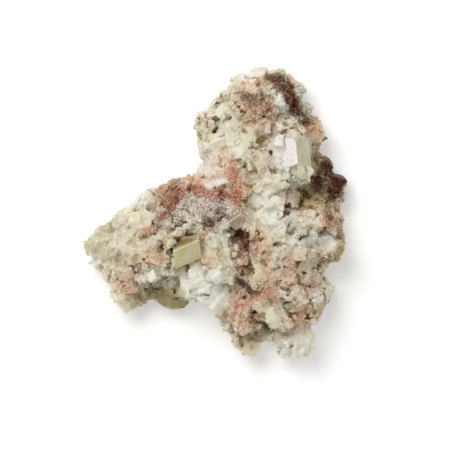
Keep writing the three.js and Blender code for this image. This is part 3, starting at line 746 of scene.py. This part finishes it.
def calculated(tree, operation, first, second, third=None):
    inputs = {0: first, 1: second}
    if third is not None:
        inputs[2] = third
    return node(tree, "Math", inputs, operation=operation).outputs[0]


def ramped(tree, value, low, high):
    """0 below low, 1 above high."""
    inputs = {"Value": value, "From Min": low, "From Max": high}
    return node(tree, "MapRange", inputs, interpolation_type="SMOOTHSTEP").outputs[0]


def noise_value(tree, scale, detail=3.0, roughness=0.6, offset=0.0):
    place = node(tree, "TexCoord").outputs["Object"]
    moved = node(tree, "VectorMath", {0: place, 1: (offset, offset, offset)}, operation="ADD").outputs[0]
    inputs = {"Vector": moved, "Scale": scale, "Detail": detail, "Roughness": roughness}
    return node(tree, "TexNoise", inputs).outputs["Fac"]


def stained_and_shaded_calcite_group():
    """Calcite's own colours under its stains, with painted shade in its nooks, its hollows and on its steep
    sides. Its inputs say how deep stains, specks and nooks go; the nooks' input also sets how deep that
    painted shade goes.
    """
    tree = bpy.data.node_groups.new("stained_and_shaded_calcite", "ShaderNodeTree")
    for name in ("Stain", "Specks", "Nooks"):
        tree.interface.new_socket(name, in_out="INPUT", socket_type="NodeSocketFloat").default_value = 1.0
    tree.interface.new_socket("Color", in_out="OUTPUT", socket_type="NodeSocketColor")
    given = tree.nodes.new("NodeGroupInput").outputs
    broad = noise_value(tree, 60, 2.0)
    middling = noise_value(tree, 330, 3.0, offset=0.3)
    fine = noise_value(tree, 1300, 2.0, 0.5, offset=0.7)
    tint = layer_value(tree, "tint")
    shade = blended(tree, ramped(tree, broad, 0.36, 0.62), colour("#e5dcc4"), colour("#dbd9bf"))
    shade = blended(tree, calculated(tree, "MULTIPLY", tint, 0.5), shade, colour("#f2ecdc"))
    warm = calculated(tree, "MULTIPLY", ramped(tree, middling, 0.5, 0.72), 0.25)
    shade = blended(tree, warm, shade, colour("#d8c193"))
    patchy = calculated(tree, "SUBTRACT", middling, 0.5)
    patchy = calculated(tree, "MULTIPLY_ADD", calculated(tree, "SUBTRACT", fine, 0.5), 0.8, patchy)
    flecks = ramped(tree, fine, 0.45, 0.62)
    # Stain, ground, flecks, how far the flecks cover, how ragged its edge is, how far it covers. The olive
    # and brown coats are stains and in part painted shade.
    coats = (
        ("peach", "#e2bd9f", "#d1a583", 0.4, 0.8, 0.85),
        ("olive_stain_and_shade", "#9c8644", "#75601e", 0.4, 0.6, 0.92),
        ("lilac", "#e7d9d2", "#936f67", 0.55, 0.6, 0.9),
        ("rust", "#e3a88d", "#c78363", 0.5, 1.0, 0.85),
        ("white", "#efefe6", "#e6e5d8", 0.2, 0.4, 0.9),
        ("iron", "#d28a72", "#7c2417", 0.65, 1.7, 0.82),
        ("soot", "#74401c", "#1e0b01", 0.8, 0.6, 0.98),
        ("brown_stain_and_shade", "#582200", "#1c0a00", 0.65, 0.7, 0.98),
    )
    shut_in = layer_value(tree, "nook_stain_and_shade")
    worn = calculated(tree, "MULTIPLY", ramped(tree, tint, 0.62, 0.72), 0.35)
    # Open places, far from other crystals, keep less of the stains and come out lighter: in part cleaner
    # crystal, in part painted highlight.
    tip_range = {"Value": shut_in, "From Min": 0.1, "From Max": 0.4, "To Min": 0.2, "To Max": 0.0}
    tip_clean_and_highlight = node(tree, "MapRange", tip_range).outputs[0]
    clean = calculated(tree, "SUBTRACT", 1.0, calculated(tree, "MAXIMUM", worn, tip_clean_and_highlight))
    for stain, ground, fleck, flecked, breakup, depth in coats:
        reach = calculated(tree, "MULTIPLY_ADD", patchy, breakup, layer_value(tree, stain))
        within = calculated(tree, "MULTIPLY", ramped(tree, layer_value(tree, stain), 0.03, 0.2), depth)
        share = calculated(tree, "MULTIPLY", ramped(tree, reach, 0.08, 0.8), within)
        if stain in ("peach", "olive_stain_and_shade", "lilac", "rust"):
            share = calculated(tree, "MULTIPLY", share, clean)
        coat = blended(tree, calculated(tree, "MULTIPLY", flecks, flecked), colour(ground), colour(fleck))
        shade = blended(tree, calculated(tree, "MULTIPLY", share, given["Stain"]), shade, coat)
    # Painted shade: steep sides are tinted a dull olive-grey by how steep they are.
    flank_shade = calculated(tree, "MULTIPLY", layer_value(tree, "flank_shade"), 0.35)
    shade = blended(tree, flank_shade, shade, colour("#a39c78"))
    # Painted shade: places shut in by whole lumps are tinted a warm tan to olive.
    hollow = ramped(tree, layer_value(tree, "hollow"), 0.16, 0.55)
    hollow = calculated(tree, "MULTIPLY", hollow, given["Nooks"])
    hollow_shade_colour = blended(tree, ramped(tree, broad, 0.4, 0.6), colour("#a87335"), colour("#8f7930"))
    shade = blended(tree, calculated(tree, "MULTIPLY", hollow, 0.58), shade, hollow_shade_colour)
    # Deep places between crystals darkened to a dark umber: in part the stain that dries there, in part
    # painted shade.
    nook_stain_and_shade = calculated(tree, "MULTIPLY", ramped(tree, shut_in, 0.38, 0.82), given["Nooks"])
    shade = blended(tree, calculated(tree, "MULTIPLY", nook_stain_and_shade, 0.9), shade, colour("#5a2a03"))
    speck_noise = noise_value(tree, 1900, 1.0, 0.4, offset=1.3)
    reach = calculated(tree, "MULTIPLY_ADD", layer_value(tree, "specks"), -0.085, 0.71)
    speck = ramped(tree, calculated(tree, "SUBTRACT", speck_noise, reach), 0.0, 0.03)
    depth = calculated(tree, "MULTIPLY", calculated(tree, "MULTIPLY", speck, 0.85), given["Specks"])
    shade = blended(tree, depth, shade, colour("#37241a"))
    tree.links.new(shade, tree.nodes.new("NodeGroupOutput").inputs["Color"])
    return tree


stained_and_shaded_calcite = stained_and_shaded_calcite_group()


def crust_material():
    """Milky calcite: light sinks in a little, and the crystals' faces are glossy where they are clean."""
    material = bpy.data.materials.new("milky_calcite")
    material.use_nodes = True
    tree = material.node_tree
    shader = tree.nodes["Principled BSDF"]
    stained = node(tree, "Group", node_tree=stained_and_shaded_calcite)
    tree.links.new(stained.outputs["Color"], shader.inputs["Base Color"])
    crisp = layer_value(tree, "crisp")
    glossy = calculated(tree, "MULTIPLY_ADD", layer_value(tree, "gloss"), 0.25, 0.12)
    sugary = calculated(tree, "MULTIPLY_ADD", noise_value(tree, 900, 3.0), 0.3, 0.3)
    rough = node(tree, "Mix", {0: crisp, 2: sugary, 3: glossy}).outputs[0]
    tree.links.new(rough, shader.inputs["Roughness"])
    shader.inputs["Subsurface Weight"].default_value = 1.0
    shader.inputs["Subsurface Radius"].default_value = (1.0, 0.92, 0.8)
    shader.inputs["Subsurface Scale"].default_value = 1.7 * MM
    shader.inputs["Specular IOR Level"].default_value = 0.22
    shader.inputs["IOR"].default_value = 1.55
    place = node(tree, "TexCoord").outputs["Object"]
    grains = node(tree, "TexVoronoi", {"Vector": place, "Scale": 1100.0}).outputs["Distance"]
    height = calculated(tree, "MULTIPLY_ADD", grains, -1.0, noise_value(tree, 700, 3.0))
    strength = node(tree, "Mix", {0: crisp, 2: 0.28, 3: 0.05}).outputs[0]
    bump = node(tree, "Bump", {"Height": height, "Strength": strength, "Distance": 0.25 * MM})
    tree.links.new(bump.outputs["Normal"], shader.inputs["Normal"])
    return material


crust_mesh.transform(Matrix.Scale(MM, 4))
crust_mesh.materials.clear()
crust_mesh.materials.append(crust_material())
crust = bpy.data.objects.new("calcite_crust", crust_mesh)
bpy.context.scene.collection.objects.link(crust)
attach(crust, "root")
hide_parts("calcite_cluster")

# ---- The clear rhombs ----
# Four rhombs of clearer calcite that stand free of the crust: a honey-yellow one in the middle, a glassy
# white one near the top, a pinkish one across the cleft and a small bright one on the arm. Each grew on
# the crust and is half buried in it.

PROUD = 0.22  # mm that each stands out from the plain solid's face
EDGE_WEAR = 0.42  # mm taken off its edges


def clear_rhomb(name):
    """A rhomb with worn edges. The layer called edge marks those, the others say which way a face looks,
    for its painted light and shade.
    """
    at, edges, pose = CLEAR_RHOMBS[name]
    middle, turn, edges = rhomb_of(at, edges, pose)
    mesh = rhombs_mesh(rhomb_corners(middle, turn, edges + 2 * PROUD), np.array([0]))
    body = bmesh.new()
    body.from_mesh(mesh)
    sides = [face.normal.copy() for face in body.faces]
    bmesh.ops.bevel(body, geom=body.edges[:], offset=EDGE_WEAR, segments=2, profile=0.5, affect="EDGES")
    body.normal_update()
    looks = np.array([face.normal[:] for face in body.faces])
    body.to_mesh(mesh)
    body.free()
    flat = np.array([max(Vector(look).dot(side) for side in sides) > 0.9999 for look in looks])
    add_layer(mesh, "edge", 1.0 - flat, "FACE")
    add_layer(mesh, "upward", np.clip(looks[:, 2], 0, 1), "FACE")
    add_layer(mesh, "sideways", looks[:, 0] * 0.5 + 0.5, "FACE")
    add_layer(mesh, "lengthways", looks[:, 1] * 0.5 + 0.5, "FACE")
    return mesh


def clear_calcite(name, look, low, high, first, second, edge, gloss, depth_mm):
    """Clear calcite: the first colour where the layer called look is below low, the second above high. The
    two are painted light and shade by which way a face looks.
    """
    material = bpy.data.materials.new(name)
    material.use_nodes = True
    tree = material.node_tree
    shader = tree.nodes["Principled BSDF"]
    cloud = noise_value(tree, 260, 3.0)
    streak = noise_value(tree, 1100, 2.0, offset=0.4)
    # Painted light and shade: faces turned one way take the first colour, the others the second.
    shade = blended(tree, ramped(tree, layer_value(tree, look), low, high), colour(first), colour(second))
    pale = calculated(tree, "MULTIPLY", ramped(tree, cloud, 0.42, 0.72), 0.55)
    shade = blended(tree, pale, shade, colour("#ece8d6"))
    dusty = calculated(tree, "MULTIPLY", ramped(tree, streak, 0.52, 0.75), 0.3)
    shade = blended(tree, dusty, shade, colour("#b9a27c"))
    shade = blended(tree, calculated(tree, "MULTIPLY", layer_value(tree, "edge"), 0.6), shade, colour(edge))
    tree.links.new(shade, shader.inputs["Base Color"])
    rough = calculated(tree, "MULTIPLY_ADD", noise_value(tree, 700, 3.0), 0.25, gloss)
    tree.links.new(rough, shader.inputs["Roughness"])
    shader.inputs["Subsurface Weight"].default_value = 0.6
    shader.inputs["Subsurface Radius"].default_value = (1.0, 0.9, 0.55)
    shader.inputs["Subsurface Scale"].default_value = depth_mm * MM
    shader.inputs["IOR"].default_value = 1.6
    height = calculated(tree, "MULTIPLY_ADD", noise_value(tree, 420, 2.0, offset=0.9), 0.6, streak)
    bump = node(tree, "Bump", {"Height": height, "Strength": 0.3, "Distance": 0.2 * MM})
    tree.links.new(bump.outputs["Normal"], shader.inputs["Normal"])
    return material


# The material's name, the layer that parts its two colours and where, the colours, the worn edges'
# colour, how rough it is at least, and how deep light sinks in, in mm. The two colours are painted light
# and shade: a painted glow of light through the honey rhomb on its faces turned to -y, and painted shade,
# in part its own colour, on those turned to +y; painted shade on the glassy rhomb's faces turned to +x,
# away from the lamp; the tooth's upturned faces painted lighter than its steep ones. The pinkish
# rhomb's two colours are the same.
CLEAR_LOOKS = {
    "honey": ("honey_calcite", "lengthways", 0.45, 0.6, "#dbd19f", "#a58e52", "#e4dab4", 0.12, 1.2),
    "glassy": ("glassy_calcite", "sideways", 0.5, 0.65, "#f4f1ea", "#c9c09a", "#f2eee2", 0.1, 1.5),
    "bridge": ("pinkish_calcite", "sideways", 0.9, 1.0, "#a89079", "#a89079", "#e2d3c0", 0.2, 0.6),
    "tooth": ("bright_calcite", "upward", 0.5, 0.9, "#d5cfa8", "#f6f5e4", "#fbfaf0", 0.1, 0.6),
}
for name, look in CLEAR_LOOKS.items():
    clear_mesh = clear_rhomb(name)
    clear_mesh.transform(Matrix.Scale(MM, 4))
    clear_mesh.materials.append(clear_calcite(*look))
    clear = bpy.data.objects.new(name + "_rhomb", clear_mesh)
    bpy.context.scene.collection.objects.link(clear)
    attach(clear, "root")
    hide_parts("calcite_cluster")

# ---- The sugar ----
# Fine calcite that came last and settled over the crust like coarse sugar, thickest on the stained
# patches. Its crystals are clear enough to glitter. They cling to the crust where they grew.

GRAINS = {"tries": 60000, "size": (0.5, 1.2), "apart": 0.6, "sunk": 0.12}
GRAIN_ZONES = ("sugar_on_arm", "sugar_on_top", "sugar_on_right")
ARM_ENDS = -2  # mm, in x
TOP_STARTS = 12  # mm, in y


def sugar_mesh(corners, layers):
    """Many small rhombs as one mesh, with the crust's layers where each sits."""
    mesh = rhombs_mesh(corners, np.zeros(len(corners)))
    mesh.attributes.remove(mesh.attributes["crystal"])
    for name, values in layers.items():
        add_layer(mesh, name, np.repeat(values, 8))
    return mesh


def sugar_material():
    """Fine clear grains: glossy, and less stained than what they lie on."""
    material = bpy.data.materials.new("sugary_calcite")
    material.use_nodes = True
    tree = material.node_tree
    shader = tree.nodes["Principled BSDF"]
    stained = node(tree, "Group", {"Stain": 0.92, "Specks": 0.5, "Nooks": 0.9}, node_tree=stained_and_shaded_calcite)
    tree.links.new(stained.outputs["Color"], shader.inputs["Base Color"])
    rough = calculated(tree, "MULTIPLY_ADD", layer_value(tree, "gloss"), 0.3, 0.12)
    tree.links.new(rough, shader.inputs["Roughness"])
    shader.inputs["Subsurface Weight"].default_value = 0.3
    shader.inputs["Subsurface Radius"].default_value = (1.0, 0.8, 0.5)
    shader.inputs["Subsurface Scale"].default_value = 0.4 * MM
    shader.inputs["Specular IOR Level"].default_value = 0.35
    shader.inputs["IOR"].default_value = 1.6
    return material


grain_spots = random_spots(crust_mesh, GRAINS["tries"], draw)
grain_points = at_spots(corners_of(crust_mesh), grain_spots) / MM
grain_outward = directions_at(crust_mesh, grain_spots)
thickness = np.array([noise.noise(Vector(point) * 0.14) for point in grain_points])
layers = {}
for name in (*STAINS, "nook_stain_and_shade", "hollow", "flank_shade"):
    values = np.empty(len(crust_mesh.vertices), np.float32)
    crust_mesh.attributes[name].data.foreach_get("value", values)
    layers[name] = at_spots(values, grain_spots)
stained = layers["rust"] + layers["lilac"] + layers["iron"] + layers["specks"] + layers["soot"]
wanted = 0.6 * thickness + 0.6 * stained - 0.4 * layers["nook_stain_and_shade"]
wanted -= layers["brown_stain_and_shade"] + 0.7 * layers["soot"] + 0.5 * layers["white"]
size = GRAINS["size"][0] + (GRAINS["size"][1] - GRAINS["size"][0]) * draw.random(len(grain_points)) ** 2
grain_turns = turned(draw.normal(size=(len(grain_points), 3)), draw.random(len(grain_points)) * math.pi)
edges = size[:, None] * (1 - 0.3 * draw.random((len(grain_points), 3)))
middles = grain_points + grain_outward * (size * (0.5 - GRAINS["sunk"]) * 0.3)[:, None]
grain_corners = rhomb_corners(middles, grain_turns, edges)
fits = inside_box(grain_corners)
fits &= draw.random(len(fits)) < wanted
fits &= ~on_rhombs(grain_points, BARE_RHOMBS, 0.35)
chosen = np.flatnonzero(fits)
chosen = chosen[kept_apart(grain_points[chosen], GRAINS["apart"])]
layers["tint"] = draw.random(len(fits))
layers["gloss"] = draw.random(len(fits))
on_arm, on_top = grain_points[:, 0] < ARM_ENDS, grain_points[:, 1] > TOP_STARTS
zone_of = np.where(on_arm, 0, np.where(on_top, 1, 2))
sugar = sugar_material()
for zone, name in enumerate(GRAIN_ZONES):
    here = chosen[zone_of[chosen] == zone]
    mesh = sugar_mesh(grain_corners[here], {key: values[here] for key, values in layers.items()})
    mesh.transform(Matrix.Scale(MM, 4))
    mesh.materials.append(sugar)
    grains = bpy.data.objects.new(name, mesh)
    bpy.context.scene.collection.objects.link(grains)
    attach(grains, "root")
    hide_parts("calcite_cluster")

# ---- The table and the light ----
# A plain white table top under a large soft lamp at the upper left, with white walls all round. The
# camera looks straight down on the specimen.

FRAME_WIDTH = 180.0  # mm across the picture
FRAME_MIDDLE = (3.8, -4.4)  # mm, what its middle looks at
FOCUS_HEIGHT = 24.0  # mm above the table, where that width is measured
LENS = 300.0  # mm, long, so that high and low crystals show at one scale
HALF_TABLE = 2.0  # m

table_mesh = bpy.data.meshes.new("table")
table_corners = [(x * HALF_TABLE, y * HALF_TABLE, 0) for x, y in ((-1, -1), (1, -1), (1, 1), (-1, 1))]
table_mesh.from_pydata(table_corners, [], [(0, 1, 2, 3)])
table = bpy.data.objects.new("table_top", table_mesh)
bpy.context.scene.collection.objects.link(table)
white_paint = bpy.data.materials.new("white_paint")
white_paint.use_nodes = True
paint = white_paint.node_tree.nodes["Principled BSDF"].inputs
paint["Base Color"].default_value = colour("#f7f7f7")
paint["Roughness"].default_value = 0.9
paint["Emission Color"].default_value = (1.0, 1.0, 1.0, 1.0)
paint["Emission Strength"].default_value = 0.27
table_mesh.materials.append(white_paint)

lamp_data = bpy.data.lights.new("soft_lamp", "AREA")
lamp_data.shape = "DISK"
lamp_data.size = 0.7
lamp_data.energy = 7.9
lamp = bpy.data.objects.new("soft_lamp", lamp_data)
lamp.location = (-0.33, 0.45, 1.05)
lamp.rotation_euler = Vector(lamp.location).to_track_quat("Z", "Y").to_euler()
lamp.visible_camera = False
bpy.context.scene.collection.objects.link(lamp)

walls = bpy.data.worlds.new("white_walls")
walls.use_nodes = True
background = walls.node_tree.nodes["Background"].inputs
background["Color"].default_value = (1.0, 1.0, 1.0, 1.0)
background["Strength"].default_value = 0.45
bpy.context.scene.world = walls

camera_data = bpy.data.cameras.new("camera")
camera_data.lens = LENS
distance = FRAME_WIDTH * MM * LENS / camera_data.sensor_width
camera_data.clip_end = 10
camera = bpy.data.objects.new("camera", camera_data)
camera.location = (FRAME_MIDDLE[0] * MM, FRAME_MIDDLE[1] * MM, FOCUS_HEIGHT * MM + distance)
bpy.context.scene.collection.objects.link(camera)
bpy.context.scene.camera = camera
bpy.context.scene.view_settings.view_transform = "Standard"
